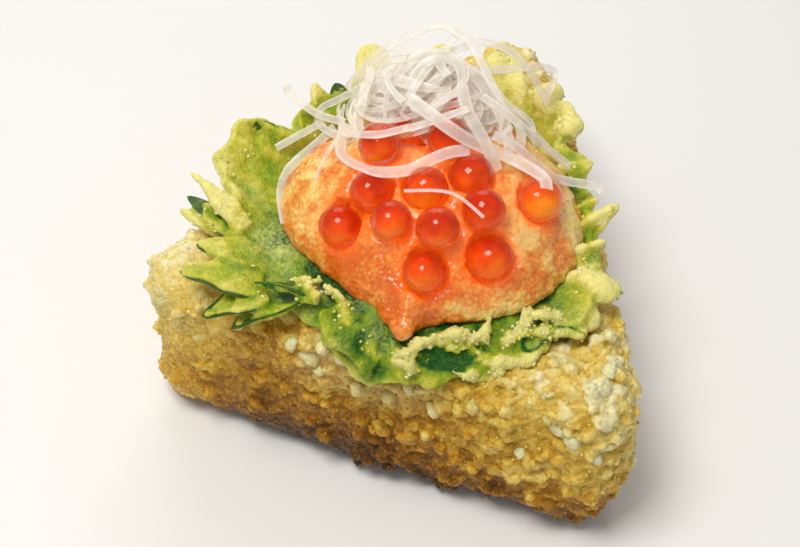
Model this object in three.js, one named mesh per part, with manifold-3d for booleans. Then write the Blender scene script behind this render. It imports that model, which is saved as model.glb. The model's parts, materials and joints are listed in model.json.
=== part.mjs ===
// A fried rice triangle lying flat, with a battered perilla leaf draped over it, a mound of
// creamy roe paste, salmon eggs pressed into the paste and a heap of finely shredded onion.
// Millimetres, +Z up. The origin is the middle of the flat underside, the straight front
// edge runs along X and the point of the triangle faces +Y.

import * as THREE from 'three';
import { mergeVertices } from 'three/addons/utils/BufferGeometryUtils.js';
import Module from 'manifold-3d';

const wasm = await Module();
wasm.setup();

// Clear space kept between pieces that touch in the real thing.
const gap = 0.3;

const block = {
  width: 81.4, // front edge, measured between the sharp corners
  depth: 79.1, // from the front edge to the sharp point
  thickness: 31,
  cornerRadius: 6.9,
  edgeRadius: 5.7,
  lump: 0.9, // slow swellings of the sides, and their length
  lumpLength: 13,
  grain: 0.8, // bumps of single rice grains, and their length
  grainLength: 3.4,
  topDip: 0.9, // deepest hollow in the upper face, and their length
  dipLength: 5,
  color: 0xc9a55c,
  roughness: 0.55,
  columns: 76,
  sideSteps: 7,
  edgeSteps: 3,
};

// The paste is a dome. Its outline is flattened at the front, where one tip runs out.
const paste = {
  centre: [0.5, -4],
  radius: 21.6,
  height: 13,
  sideFullness: 2.3,
  crownFullness: 0.72,
  flatBearing: -95,
  flatDepth: 3.4,
  flatWidth: 55,
  tipBearing: -82,
  tipReach: 4.2,
  tipWidth: 8,
  tipFrom: 0.7, // the tip grows out of the dome from this share of its radius
  sway: 0.5, // swellings of the outline, and how many go round it
  swayCount: 4,
  lump: 0.6, // swellings of the surface, and their length
  lumpLength: 7,
  color: 0xf0985c,
  roughness: 0.35,
  rings: 8,
  columns: 40,
};

// The leaf is a sheet spread from under the paste. Each tooth is [bearing in degrees, reach
// from the paste's centre, lift of its tip above the block, reach of the notch after it].
const leaf = {
  thickness: 1.8,
  rimThickness: 1.1,
  freeFrom: 0.8, // the sheet leaves the block this far outside the paste
  ruffle: 0.6, // waves along the free edge, and how many go round it
  ruffleCount: 14,
  liftCurve: 1.5,
  color: 0xa9bf4e,
  roughness: 0.5,
  rings: 5,
  stepsPerTooth: 4,
  teeth: [
    [-35, 26.5, -2, 26],
    [-22, 28.5, 2, 27.5],
    [-1, 29, 1, 25.5],
    [13.5, 26, 3, 24.5],
    [27.5, 27.5, 4, 25],
    [47.5, 28, 4, 24.5],
    [62.5, 28.5, 4, 27],
    [76, 30.5, 4, 28.5],
    [92, 31, 4, 29],
    [108, 33, 3, 29.5],
    [125, 37.5, 4, 30],
    [136.5, 30, 4, 28.5],
    [143, 32, 4, 29.5],
    [157, 30.5, 5, 29],
    [170, 32.5, 6, 32],
    [179, 32.5, 5, 31],
    [188, 34, 4, 32],
    [195, 35.5, 3, 29],
    [212, 35, 1, 29.5],
    [223, 34, -3, 31],
    [229, 31, -4, 24],
    [243, 22.5, 0, 22],
    [261, 24.5, -2, 24],
    [273, 26, -4, 24.5],
    [290, 25, -4, 24],
    [308, 26.5, -3, 25],
  ],
};

// Salmon eggs: [x, y, radius, share of the height that is sunk in the paste]. Eggs set too
// close together are pushed apart until they only just miss each other.
const egg = {
  color: 0xee4508,
  roughness: 0.15,
  clearance: 0.4,
  settleRounds: 60,
  places: [
    [-9, -15, 3, 0.5],
    [-6, -11, 3, 0.5],
    [-1.5, -15.5, 2.9, 0.2],
    [1, -9, 3.1, 0.5],
    [4.5, -14.5, 3, 0.2],
    [6, -4.5, 3.1, 0.55],
    [9.5, -10, 3, 0.2],
    [12, -13.5, 3.3, 0.5],
    [4.5, -18.5, 3, 0.5],
    [15.5, -3, 3.1, 0.35],
    [-7, -5, 3, 0.25],
    [-4.5, 0.5, 3, 0.55],
    [1, -0.5, 3, 0.2],
    [-5.5, 6.5, 3, 0.5],
    [-3, 11.5, 3, 0.5],
  ],
};

// The shredded onion is one lumpy heap over the back of the dome.
const onion = {
  centre: [-1, 7.5],
  halfWidth: 18.5,
  halfDepth: 13,
  height: 9.5,
  drape: 1.2, // thickness at the heap's outline
  underside: 1.5, // the heap never reaches lower than this above the leaf
  lump: 1.6, // swellings of the surface, and their length
  lumpLength: 3.6,
  color: 0xece9dc,
  roughness: 0.4,
  rings: 5,
  columns: 30,
};

// ---------------------------------------------------------------- shape helpers

const radians = THREE.MathUtils.degToRad;
const clamp = THREE.MathUtils.clamp;
const smoothstep = THREE.MathUtils.smoothstep;
const lerp = THREE.MathUtils.lerp;

// A repeatable number from 0 to 1 for each corner of a unit lattice.
function latticeValue(i, j, k) {
  const s = Math.sin(i * 127.1 + j * 311.7 + k * 74.7) * 43758.5453;
  return s - Math.floor(s);
}

// Smooth noise from -1 to 1, one swelling to each unit of length.
function noise(x, y, z) {
  const cell = [x, y, z].map(Math.floor);
  const part = [x - cell[0], y - cell[1], z - cell[2]].map((t) => t * t * (3 - 2 * t));
  let sum = 0;
  for (let corner = 0; corner < 8; corner += 1) {
    const step = [corner & 1, (corner >> 1) & 1, (corner >> 2) & 1];
    const share = step.reduce((product, s, axis) => product * (s ? part[axis] : 1 - part[axis]), 1);
    sum += share * latticeValue(cell[0] + step[0], cell[1] + step[1], cell[2] + step[2]);
  }
  return 2 * sum - 1;
}

// A closed body from rings of equal length and an end point beyond each end ring. The rings
// run anticlockwise seen from the last end point.
function ringsToGeometry(firstPoint, rings, lastPoint) {
  const count = rings[0].length;
  const points = [firstPoint, ...rings.flat(), lastPoint];
  const faces = [];
  for (let i = 0; i < count; i += 1) {
    const next = (i + 1) % count;
    faces.push(0, 1 + next, 1 + i);
    for (let r = 0; r + 1 < rings.length; r += 1) {
      const low = 1 + r * count;
      const high = low + count;
      faces.push(low + i, low + next, high + next, low + i, high + next, high + i);
    }
    const top = 1 + (rings.length - 1) * count;
    faces.push(top + i, top + next, points.length - 1);
  }
  const geometry = new THREE.BufferGeometry();
  geometry.setAttribute('position', new THREE.Float32BufferAttribute(points.flat(), 3));
  geometry.setIndex(faces);
  return geometry;
}

function toSolid(geometry) {
  const bare = geometry.clone();
  bare.deleteAttribute('normal');
  bare.deleteAttribute('uv');
  const merged = mergeVertices(bare, 1e-4);
  return new wasm.Manifold(new wasm.Mesh({
    numProp: 3,
    vertProperties: new Float32Array(merged.attributes.position.array),
    triVerts: new Uint32Array(merged.index.array),
  }));
}

function toGeometry(solid) {
  const mesh = solid.getMesh();
  const geometry = new THREE.BufferGeometry();
  geometry.setAttribute('position', new THREE.BufferAttribute(mesh.vertProperties, 3));
  geometry.setIndex(new THREE.BufferAttribute(mesh.triVerts, 1));
  return geometry;
}

function namedMesh(name, geometry, { color, roughness }) {
  geometry.computeVertexNormals();
  const material = new THREE.MeshStandardMaterial({ color, roughness, metalness: 0 });
  const mesh = new THREE.Mesh(geometry, material);
  mesh.name = name;
  return mesh;
}

// ---------------------------------------------------------------- rice block

// The sharp triangle's corners, moved in from each edge by the given distance.
function triangleCorners(inset) {
  const frontY = -block.depth / 3;
  const slant = Math.hypot(block.width / 2, block.depth);
  const y = frontY + inset;
  const tipY = frontY + block.depth - (inset * slant) / (block.width / 2);
  const halfWidth = ((tipY - y) * block.width) / 2 / block.depth;
  return [
    new THREE.Vector2(-halfWidth, y),
    new THREE.Vector2(halfWidth, y),
    new THREE.Vector2(0, tipY),
  ];
}

// Distance in from the rounded outline, negative outside it.
function distanceInside(x, y) {
  const corners = triangleCorners(block.cornerRadius);
  const point = new THREE.Vector2(x, y);
  let nearest = Infinity;
  let inside = true;
  corners.forEach((start, i) => {
    const along = corners[(i + 1) % 3].clone().sub(start);
    const offset = point.clone().sub(start);
    const share = clamp(offset.dot(along) / along.lengthSq(), 0, 1);
    nearest = Math.min(nearest, offset.clone().addScaledVector(along, -share).length());
    inside = inside && along.cross(offset) >= 0;
  });
  return block.cornerRadius + (inside ? nearest : -nearest);
}

// Evenly spaced points round the rounded triangle, each with its outward normal.
function blockOutline() {
  const centres = triangleCorners(block.cornerRadius);
  const baseAngle = Math.atan2(block.depth, block.width / 2);
  const path = new THREE.Path();
  const turns = [
    [Math.PI / 2 + baseAngle, 1.5 * Math.PI],
    [-Math.PI / 2, Math.PI / 2 - baseAngle],
    [Math.PI / 2 - baseAngle, Math.PI / 2 + baseAngle],
  ];
  centres.forEach((centre, i) => {
    path.absarc(centre.x, centre.y, block.cornerRadius, turns[i][0], turns[i][1], false);
  });
  path.closePath();
  const points = path.getSpacedPoints(block.columns).slice(0, block.columns);
  return points.map((point, i) => {
    const before = points[(i + block.columns - 1) % block.columns];
    const after = points[(i + 1) % block.columns];
    const along = after.clone().sub(before).normalize();
    return { point, normal: new THREE.Vector2(along.y, -along.x) };
  });
}

function riceBump(x, y, z) {
  const slow = [x, y, z].map((value) => value / block.lumpLength);
  const fine = [x, y, z].map((value) => value / block.grainLength);
  return block.lump * noise(...slow) + block.grain * noise(...fine);
}

function makeRiceBlock() {
  const r = block.edgeRadius;
  const outline = blockOutline();
  const lowEdge = Array.from({ length: block.edgeSteps + 1 }, (_, i) => {
    const angle = (i / block.edgeSteps) * (Math.PI / 2);
    return { inset: r * (1 - Math.sin(angle)), z: r * (1 - Math.cos(angle)), bump: Math.sin(angle) };
  });
  const side = Array.from({ length: block.sideSteps - 1 }, (_, i) => {
    const share = (i + 1) / block.sideSteps;
    return { inset: 0, z: lerp(r, block.thickness - r, share), bump: 1 };
  });
  const highEdge = [...lowEdge].reverse().map((level) => ({ ...level, z: block.thickness - level.z }));
  const ring = ({ inset, z, bump }) => outline.map(({ point, normal }) => {
    const push = bump * riceBump(point.x, point.y, z) - inset;
    return [point.x + normal.x * push, point.y + normal.y * push, z];
  });
  const rings = [...lowEdge, ...side, ...highEdge].map(ring);
  const low = rings[0];
  const underside = [0.4, 0.75].map((scale) => low.map(([x, y]) => [x * scale, y * scale, 0]));
  const high = rings[rings.length - 1];
  const upperFace = [0.88, 0.66, 0.33].map((scale) => high.map(([x, y]) => {
    const dip = 0.5 + 0.5 * noise((x * scale) / block.dipLength, (y * scale) / block.dipLength, 0);
    return [x * scale, y * scale, block.thickness - block.topDip * dip];
  }));
  const topMiddle = [0, 0, block.thickness - block.topDip];
  return ringsToGeometry([0, 0, 0], [...underside, ...rings, ...upperFace], topMiddle);
}

// ---------------------------------------------------------------- paste

// Signed turn in degrees from one bearing to another, from -180 to 180.
function turnBetween(from, to) {
  return THREE.MathUtils.euclideanModulo(to - from + 180, 360) - 180;
}

// Reach of the paste's outline. Inside it, a lower share of the way out hides the tip.
function pasteRadius(bearing, share = 1) {
  const flat = Math.exp(-((turnBetween(paste.flatBearing, bearing) / paste.flatWidth) ** 4));
  const tip = Math.exp(-((turnBetween(paste.tipBearing, bearing) / paste.tipWidth) ** 2));
  const sway = paste.sway * Math.sin(radians((bearing + 8) * paste.swayCount));
  const body = paste.radius - paste.flatDepth * flat + sway;
  return body + paste.tipReach * tip * smoothstep(share, paste.tipFrom, 1);
}

const pasteFloor = block.thickness + gap + leaf.thickness + gap;

function polarPoint(bearing, reach) {
  const x = paste.centre[0] + reach * Math.cos(radians(bearing));
  const y = paste.centre[1] + reach * Math.sin(radians(bearing));
  return [x, y];
}

function polarOf(x, y) {
  const dx = x - paste.centre[0];
  const dy = y - paste.centre[1];
  return { bearing: THREE.MathUtils.radToDeg(Math.atan2(dy, dx)), reach: Math.hypot(dx, dy) };
}

// Height of the paste above the leaf, zero outside its outline.
function pasteRise(x, y) {
  const { bearing, reach } = polarOf(x, y);
  const share = clamp(reach / pasteRadius(bearing, reach / paste.radius), 0, 1);
  const dome = paste.height * (1 - share ** paste.sideFullness) ** paste.crownFullness;
  const lump = paste.lump * noise(x / paste.lumpLength, y / paste.lumpLength, 0);
  return dome + lump * smoothstep(1 - share, 0, 0.3);
}

// The dome, swollen on every side where it is used to cut another piece.
function makeDome(swell) {
  const bearings = Array.from({ length: paste.columns }, (_, i) => (i / paste.columns) * 360);
  const floorZ = pasteFloor - swell;
  const ring = (share, atRim) => bearings.map((bearing) => {
    const reach = pasteRadius(bearing, share) * share;
    const [x, y] = polarPoint(bearing, reach + swell * share);
    return [x, y, atRim ? floorZ : pasteFloor + swell + pasteRise(...polarPoint(bearing, reach))];
  });
  const shares = Array.from({ length: paste.rings }, (_, i) => 1 - (i / paste.rings) ** 1.6);
  const rings = shares.map((share, i) => ring(share, i === 0));
  const apex = [...paste.centre, pasteFloor + swell + pasteRise(...paste.centre)];
  return ringsToGeometry([...paste.centre, floorZ], rings, apex);
}

// ---------------------------------------------------------------- leaf

// The teeth and the notches between them, as one list round the leaf.
function leafStops() {
  return leaf.teeth.flatMap(([angle, reach, lift, notch], i) => {
    const [nextAngle, , nextLift] = leaf.teeth[(i + 1) % leaf.teeth.length];
    const half = THREE.MathUtils.euclideanModulo(nextAngle - angle, 360) / 2;
    return [
      { angle, reach, lift },
      { angle: angle + half, reach: notch, lift: (lift + nextLift) / 2 },
    ];
  });
}

// Points round the leaf's edge, with as many steps from each tooth to the next.
function leafEdge() {
  const stops = leafStops();
  const steps = leaf.stepsPerTooth / 2;
  return stops.flatMap((from, i) => {
    const to = stops[(i + 1) % stops.length];
    const span = THREE.MathUtils.euclideanModulo(to.angle - from.angle, 360);
    return Array.from({ length: steps }, (_, step) => ({
      angle: from.angle + (span * step) / steps,
      reach: lerp(from.reach, to.reach, step / steps),
      lift: lerp(from.lift, to.lift, step / steps),
    }));
  });
}

// Lowest the sheet can lie: clear of the block and of the bumps on its sides.
function leafFloor(x, y) {
  const bulge = block.lump + block.grain;
  const inwards = distanceInside(x, y) + bulge;
  if (inwards < 0) return 0;
  const r = block.edgeRadius;
  return gap + block.thickness - r + Math.sqrt(r * r - (r - Math.min(inwards, r)) ** 2);
}

// Extra thickness over and under the sheet turns the leaf into a keep-out for other pieces.
function makeLeaf(swell) {
  const edge = leafEdge();
  const ring = (share, side) => edge.map(({ angle, reach, lift }) => {
    const fullReach = reach + swell;
    const free = clamp((pasteRadius(angle) + leaf.freeFrom) / fullReach, 0, 0.95);
    const out = Math.max(0, (share - free) / (1 - free));
    const point = polarPoint(angle, fullReach * share);
    const wave = leaf.ruffle * out * Math.sin(radians(angle * leaf.ruffleCount) + share * 9);
    const height = block.thickness + gap + lift * out ** leaf.liftCurve + wave;
    const low = Math.max(leafFloor(...point), height);
    const thickness = lerp(leaf.thickness, leaf.rimThickness, out);
    return [...point, side > 0 ? low + thickness + swell : low - swell];
  });
  const shares = Array.from({ length: leaf.rings }, (_, i) => ((i + 1) / leaf.rings) ** 0.6);
  const under = shares.map((share) => ring(share, -1));
  const over = shares.map((share) => ring(share, 1)).reverse();
  const centreZ = block.thickness + gap;
  return ringsToGeometry(
    [...paste.centre, centreZ - swell],
    [...under, ...over],
    [...paste.centre, centreZ + leaf.thickness + swell],
  );
}

// ---------------------------------------------------------------- eggs

// Centre and radius of each egg once none of them crowds another.
function settleEggs() {
  const eggs = egg.places.map(([x, y, radius, sunk]) => {
    const z = pasteFloor + pasteRise(x, y) + radius * (1 - 2 * sunk);
    return { centre: new THREE.Vector3(x, y, z), radius };
  });
  for (let round = 0; round < egg.settleRounds; round += 1) {
    eggs.forEach((one, i) => eggs.slice(i + 1).forEach((other) => {
      const apart = other.centre.clone().sub(one.centre);
      const short = one.radius + other.radius + egg.clearance - apart.length();
      if (short <= 0) return;
      apart.setLength(short / 2);
      one.centre.sub(apart);
      other.centre.add(apart);
    }));
  }
  return eggs;
}

function makeEgg({ centre, radius }, swell) {
  return new THREE.IcosahedronGeometry(radius + swell, 1).translate(...centre);
}

// ---------------------------------------------------------------- onion

function onionTop(x, y, share) {
  const rise = onion.height * Math.sqrt(1 - share * share);
  const lump = onion.lump * noise(x / onion.lumpLength, y / onion.lumpLength, 0);
  return pasteFloor + Math.max(pasteRise(x, y), onion.underside) + onion.drape + rise + lump;
}

function makeOnionHeap() {
  const bearings = Array.from({ length: onion.columns }, (_, i) => (i / onion.columns) * 2 * Math.PI);
  const ring = (share, height) => bearings.map((bearing) => {
    const sway = 1 + 0.12 * Math.sin(3 * bearing + 1) + 0.07 * Math.sin(7 * bearing);
    const x = onion.centre[0] + share * sway * onion.halfWidth * Math.cos(bearing);
    const y = onion.centre[1] + share * sway * onion.halfDepth * Math.sin(bearing);
    return [x, y, height === undefined ? onionTop(x, y, share) : height];
  });
  const shares = Array.from({ length: onion.rings }, (_, i) => 1 - i / onion.rings);
  const floorZ = pasteFloor + onion.underside;
  const rings = [ring(1, floorZ), ...shares.map((share) => ring(share))];
  const top = [...onion.centre, onionTop(...onion.centre, 0)];
  return ringsToGeometry([...onion.centre, floorZ], rings, top);
}

// ---------------------------------------------------------------- assembly

const eggs = settleEggs();
const eggSeats = eggs.map((one) => toSolid(makeEgg(one, gap)));
const pasteSolid = eggSeats.reduce((solid, seat) => solid.subtract(seat), toSolid(makeDome(0)));
const onionCutters = [toSolid(makeDome(gap)), toSolid(makeLeaf(gap)), ...eggSeats];
const onionSolid = onionCutters.reduce((solid, cutter) => solid.subtract(cutter), toSolid(makeOnionHeap()));

const onigiri = new THREE.Group();
onigiri.add(namedMesh('rice_block', makeRiceBlock(), block));
onigiri.add(namedMesh('shiso_leaf', makeLeaf(0), leaf));
onigiri.add(namedMesh('roe_paste', toGeometry(pasteSolid), paste));
eggs.forEach((one, i) => {
  onigiri.add(namedMesh(`salmon_egg_${String(i + 1).padStart(2, '0')}`, makeEgg(one, 0), egg));
});
onigiri.add(namedMesh('onion_shreds', toGeometry(onionSolid), onion));

export default onigiri;
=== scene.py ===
import json
import math
import random

import bpy
import numpy as np
from mathutils import Matrix, Quaternion, Vector, noise
from mathutils.bvhtree import BVHTree

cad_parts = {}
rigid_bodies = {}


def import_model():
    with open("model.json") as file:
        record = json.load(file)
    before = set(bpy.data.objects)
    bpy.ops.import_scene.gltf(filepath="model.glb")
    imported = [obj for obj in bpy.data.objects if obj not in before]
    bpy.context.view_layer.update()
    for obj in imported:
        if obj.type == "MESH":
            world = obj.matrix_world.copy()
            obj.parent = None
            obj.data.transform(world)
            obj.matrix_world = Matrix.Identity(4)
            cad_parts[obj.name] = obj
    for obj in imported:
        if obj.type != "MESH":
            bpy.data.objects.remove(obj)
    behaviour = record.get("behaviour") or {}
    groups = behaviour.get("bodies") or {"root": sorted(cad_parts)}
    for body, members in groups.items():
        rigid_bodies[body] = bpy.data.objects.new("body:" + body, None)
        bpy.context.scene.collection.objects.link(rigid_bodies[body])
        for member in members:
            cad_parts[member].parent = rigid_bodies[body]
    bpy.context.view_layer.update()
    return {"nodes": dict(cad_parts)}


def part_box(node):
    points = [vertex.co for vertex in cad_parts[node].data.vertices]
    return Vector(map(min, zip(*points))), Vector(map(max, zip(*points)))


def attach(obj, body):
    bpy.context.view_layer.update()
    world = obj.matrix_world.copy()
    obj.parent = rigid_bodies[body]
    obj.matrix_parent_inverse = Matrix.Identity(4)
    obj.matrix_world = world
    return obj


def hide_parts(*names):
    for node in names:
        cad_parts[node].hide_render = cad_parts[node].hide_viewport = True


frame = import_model()
mm = 0.001


# a colour picked on the usual 0 to 255 scale, as the shaders want it
def tint(red, green, blue):
    linear = []
    for part in (red, green, blue):
        share = part / 255
        linear.append(share / 12.92 if share <= 0.04045 else ((share + 0.055) / 1.055) ** 2.4)
    return (*linear, 1.0)


def deselectAll():
    for piece in bpy.context.view_layer.objects:
        piece.select_set(False)
    bpy.context.view_layer.objects.active = None


def makeActive(piece):
    deselectAll()
    piece.select_set(True)
    bpy.context.view_layer.objects.active = piece


# adds one modifier, sets it up and applies it
def shapeWith(piece, kind, **settings):
    makeActive(piece)
    modifier = piece.modifiers.new(kind.lower(), kind)
    for name, value in settings.items():
        setattr(modifier, name, value)
    bpy.ops.object.modifier_apply(modifier=modifier.name)


def joinInto(piece, others):
    makeActive(piece)
    for other in others:
        other.select_set(True)
    bpy.ops.object.join()
    return piece


def mergeClose(piece, distance=0.01 * mm):
    makeActive(piece)
    bpy.ops.object.mode_set(mode="EDIT")
    bpy.ops.mesh.select_all(action="SELECT")
    bpy.ops.mesh.remove_doubles(threshold=distance)
    bpy.ops.mesh.normals_make_consistent(inside=False)
    bpy.ops.object.mode_set(mode="OBJECT")


# puts the object's own place into its mesh
def settle(piece):
    makeActive(piece)
    bpy.ops.object.transform_apply(location=True, rotation=True, scale=True)


def copyNode(nodeName, pieceName):
    piece = bpy.data.objects.new(pieceName, frame["nodes"][nodeName].data.copy())
    bpy.context.scene.collection.objects.link(piece)
    piece.data.materials.clear()
    mergeClose(piece)
    return piece


def remeshAt(piece, voxel):
    shapeWith(piece, "REMESH", mode="VOXEL", voxel_size=voxel)


def soften(piece, rounds):
    shapeWith(piece, "SMOOTH", factor=0.5, iterations=rounds)


# pushes a surface in and out by one of Blender's own textures
def displaceBy(piece, texture, size, height, middle):
    texture.noise_scale = size
    shapeWith(piece, "DISPLACE", texture=texture, strength=height, mid_level=middle,
              texture_coords="LOCAL")


def bumpy(piece, size, height):
    clouds = bpy.data.textures.new("clouds", "CLOUDS")
    clouds.noise_depth = 1
    displaceBy(piece, clouds, size, height, 0.5)


# rounded bumps packed side by side
def pebbly(piece, size, height):
    displaceBy(piece, bpy.data.textures.new("cells", "VORONOI"), size, -height, 0.4)


# the places of a mesh's points, or their normals
def readPoints(piece, what="co"):
    values = np.empty(len(piece.data.vertices) * 3)
    piece.data.vertices.foreach_get(what, values)
    return values.reshape(-1, 3)


def movePoints(piece, points):
    piece.data.vertices.foreach_set("co", points.ravel())
    piece.data.update()


def readAttribute(piece, name):
    values = np.empty(len(piece.data.vertices))
    piece.data.attributes[name].data.foreach_get("value", values)
    return values


def keepAttribute(piece, name, values):
    attribute = piece.data.attributes.new(name, "FLOAT", "POINT")
    attribute.data.foreach_set("value", np.asarray(values, np.float32))


# how far each point stands above its smoothed surroundings, in mm
def keepRelief(piece, rounds):
    points = readPoints(piece)
    count = len(points)
    edges = np.empty(len(piece.data.edges) * 2, np.int32)
    piece.data.edges.foreach_get("vertices", edges)
    first, second = edges.reshape(-1, 2).T
    valence = np.bincount(edges, minlength=count).clip(1)[:, None]
    smooth = points.copy()
    for _ in range(rounds):
        total = [np.bincount(first, smooth[second, axis], count)
                 + np.bincount(second, smooth[first, axis], count) for axis in range(3)]
        smooth = np.stack(total, 1) / valence
    height = ((points - smooth) * readPoints(piece, "normal")).sum(1)
    keepAttribute(piece, "relief", height / mm)


def finishPiece(piece, paint, node=None):
    piece.data.materials.clear()
    piece.data.materials.append(paint.material)
    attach(piece, "root")
    if node:
        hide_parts(node)
    triangles = sum(len(face.vertices) - 2 for face in piece.data.polygons)
    print(f"{piece.name}: {triangles} triangles")


# an output socket that can be used in plain arithmetic
class Wire:
    def __init__(self, tree, socket):
        self.tree = tree
        self.socket = socket

    def maths(self, operation, first, second):
        return self.tree.node("ShaderNodeMath", {"operation": operation}, {0: first, 1: second})

    def __add__(self, other):
        return self.maths("ADD", self, other)

    def __sub__(self, other):
        return self.maths("SUBTRACT", self, other)

    def __rsub__(self, other):
        return self.maths("SUBTRACT", other, self)

    def __mul__(self, other):
        return self.maths("MULTIPLY", self, other)

    def __truediv__(self, other):
        return self.maths("DIVIDE", self, other)

    def __pow__(self, other):
        return self.maths("POWER", self, other)

    __radd__ = __add__
    __rmul__ = __mul__


class NodeTree:
    def __init__(self, tree):
        self.tree = tree

    def feed(self, socket, value):
        if isinstance(value, Wire):
            self.tree.links.new(value.socket, socket)
        else:
            socket.default_value = value

    # settings come before sockets, because they decide which sockets there are
    def node(self, kind, settings=None, sockets=None, output=0):
        made = self.tree.nodes.new(kind)
        for name, value in (settings or {}).items():
            if name == "stops":
                ramp = made.color_ramp
                while len(ramp.elements) < len(value):
                    ramp.elements.new(0.5)
                for element, (position, colour) in zip(ramp.elements, value):
                    element.position = position
                    element.color = colour
            else:
                setattr(made, name, value)
        for name, value in (sockets or {}).items():
            self.feed(made.inputs[name], value)
        return Wire(self, made.outputs[output])


# one material; "soft" holds how much light sinks in, how far its red, green and blue go,
# and the size of that in mm
class Paint(NodeTree):
    def __init__(self, name, soft=None, **sockets):
        self.material = bpy.data.materials.new(name)
        self.material.use_nodes = True
        super().__init__(self.material.node_tree)
        self.shader = self.tree.nodes["Principled BSDF"]
        self.place = self.node("ShaderNodeTexCoord", output="Object")
        if soft:
            self.put("Subsurface Weight", soft[0])
            self.put("Subsurface Radius", soft[1])
            self.put("Subsurface Scale", soft[2] * mm)
        for socket, value in sockets.items():
            self.put(socket.replace("_", " "), value)

    def put(self, socket, value):
        self.feed(self.shader.inputs[socket], value)

    # the size of a pattern is in mm
    def noise(self, size, detail=2.0, rough=0.5, twist=0.0):
        return self.node("ShaderNodeTexNoise", None, {
            "Vector": self.place, "Scale": 1 / (size * mm), "Detail": detail,
            "Roughness": rough, "Distortion": twist})

    def cells(self, size, output="Distance"):
        return self.node("ShaderNodeTexVoronoi", None, {
            "Vector": self.place, "Scale": 1 / (size * mm)}, output)

    def attribute(self, name):
        return self.node("ShaderNodeAttribute", {"attribute_name": name}, None, "Fac")

    # one of the three coordinates, in mm
    def along(self, axis):
        return self.node("ShaderNodeSeparateXYZ", None, {0: self.place}, axis) / mm

    def height(self):
        return self.along(2)

    # spreads a value between two ends over 0 to 1, held at the ends
    def span(self, value, low, high, first=0.0, last=1.0):
        return self.node("ShaderNodeMapRange", {"clamp": True}, {
            0: value, 1: low, 2: high, 3: first, 4: last})

    # colours along a value: each stop is its place and a colour as for tint
    def ramp(self, value, *stops):
        stops = [(position, tint(*colour)) for position, *colour in stops]
        return self.node("ShaderNodeValToRGB", {"stops": stops}, {0: value})

    def blend(self, factor, first, second):
        return self.node("ShaderNodeMix", {"data_type": "RGBA"}, {
            0: factor, 6: first, 7: second}, 2)

    # depth in mm; a bump may lie on top of another
    def bump(self, height, strength, depth, under=None):
        sockets = {"Height": height, "Strength": strength, "Distance": depth * mm}
        if under is not None:
            sockets["Normal"] = under
        return self.node("ShaderNodeBump", None, sockets)


# copies of a few small pieces laid over a surface, made real and kept as one mesh
def scatterOver(surface, name, kinds, spacing, tilt, sizes, sink, seed, mask=None):
    piece = surface.copy()
    piece.data = surface.data.copy()
    piece.name = name
    bpy.context.scene.collection.objects.link(piece)
    group = bpy.data.node_groups.new(name, "GeometryNodeTree")
    group.interface.new_socket("Geometry", in_out="INPUT", socket_type="NodeSocketGeometry")
    group.interface.new_socket("Geometry", in_out="OUTPUT", socket_type="NodeSocketGeometry")
    web = NodeTree(group)
    source = web.node("NodeGroupInput")
    spots = group.nodes.new("GeometryNodeDistributePointsOnFaces")
    spots.distribute_method = "POISSON"
    group.links.new(source.socket, spots.inputs["Mesh"])
    spots.inputs["Distance Min"].default_value = spacing
    spots.inputs["Density Max"].default_value = 4 / spacing ** 2
    spots.inputs["Seed"].default_value = seed
    if mask:
        share = web.node("GeometryNodeInputNamedAttribute", {"data_type": "FLOAT"}, {"Name": mask})
        web.feed(spots.inputs["Density Factor"], share)
    turn = web.node("FunctionNodeRandomValue", {"data_type": "FLOAT_VECTOR"}, {
        0: (-tilt, -tilt, 0), 1: (tilt, tilt, math.tau), "Seed": seed + 1})
    turned = web.node("FunctionNodeRotateRotation", {"rotation_space": "LOCAL"}, {
        0: Wire(web, spots.outputs["Rotation"]),
        1: web.node("FunctionNodeEulerToRotation", None, {0: turn})})
    size = web.node("FunctionNodeRandomValue", {"data_type": "FLOAT_VECTOR"}, {
        0: sizes[0], 1: sizes[1], "Seed": seed + 2})
    parts = group.nodes.new("GeometryNodeJoinGeometry")
    for kind in kinds:
        part = web.node("GeometryNodeObjectInfo", None, {"Object": kind, "As Instance": True},
                        "Geometry")
        group.links.new(part.socket, parts.inputs[0])
    laid = web.node("GeometryNodeInstanceOnPoints", None, {
        "Points": Wire(web, spots.outputs["Points"]), "Instance": Wire(web, parts.outputs[0]),
        "Pick Instance": True, "Rotation": turned, "Scale": size})
    sunk = web.node("GeometryNodeTranslateInstances", None, {
        0: laid, "Translation": (0, 0, -sink), "Local Space": True})
    tone = web.node("FunctionNodeRandomValue", {"data_type": "FLOAT"}, {
        2: 0.0, 3: 1.0, "Seed": seed + 3}, 1)
    toned = web.node("GeometryNodeStoreNamedAttribute", {
        "data_type": "FLOAT", "domain": "INSTANCE"}, {0: sunk, "Name": "tone", "Value": tone})
    real = web.node("GeometryNodeRealizeInstances", None, {0: toned})
    result = group.nodes.new("NodeGroupOutput")
    web.feed(result.inputs[0], real)
    modifier = piece.modifiers.new(name, "NODES")
    modifier.node_group = group
    makeActive(piece)
    bpy.ops.object.modifier_apply(modifier=modifier.name)
    return piece


# where the camera stands and looks
view = {
    "azimuth": 15.4,
    "elevation": 50.2,
    "roll": 4.7,
    "distance": 246 * mm,
    "lens": 72,
    "middle": (0, 0, 13.2),  # the point it turns about, mm
    "aimSide": -4.3,  # the aim is moved this far sideways and up from it, mm
    "aimUp": 3.0,
    "sensor": 36,
    "clipStart": 0.01,
}


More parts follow.
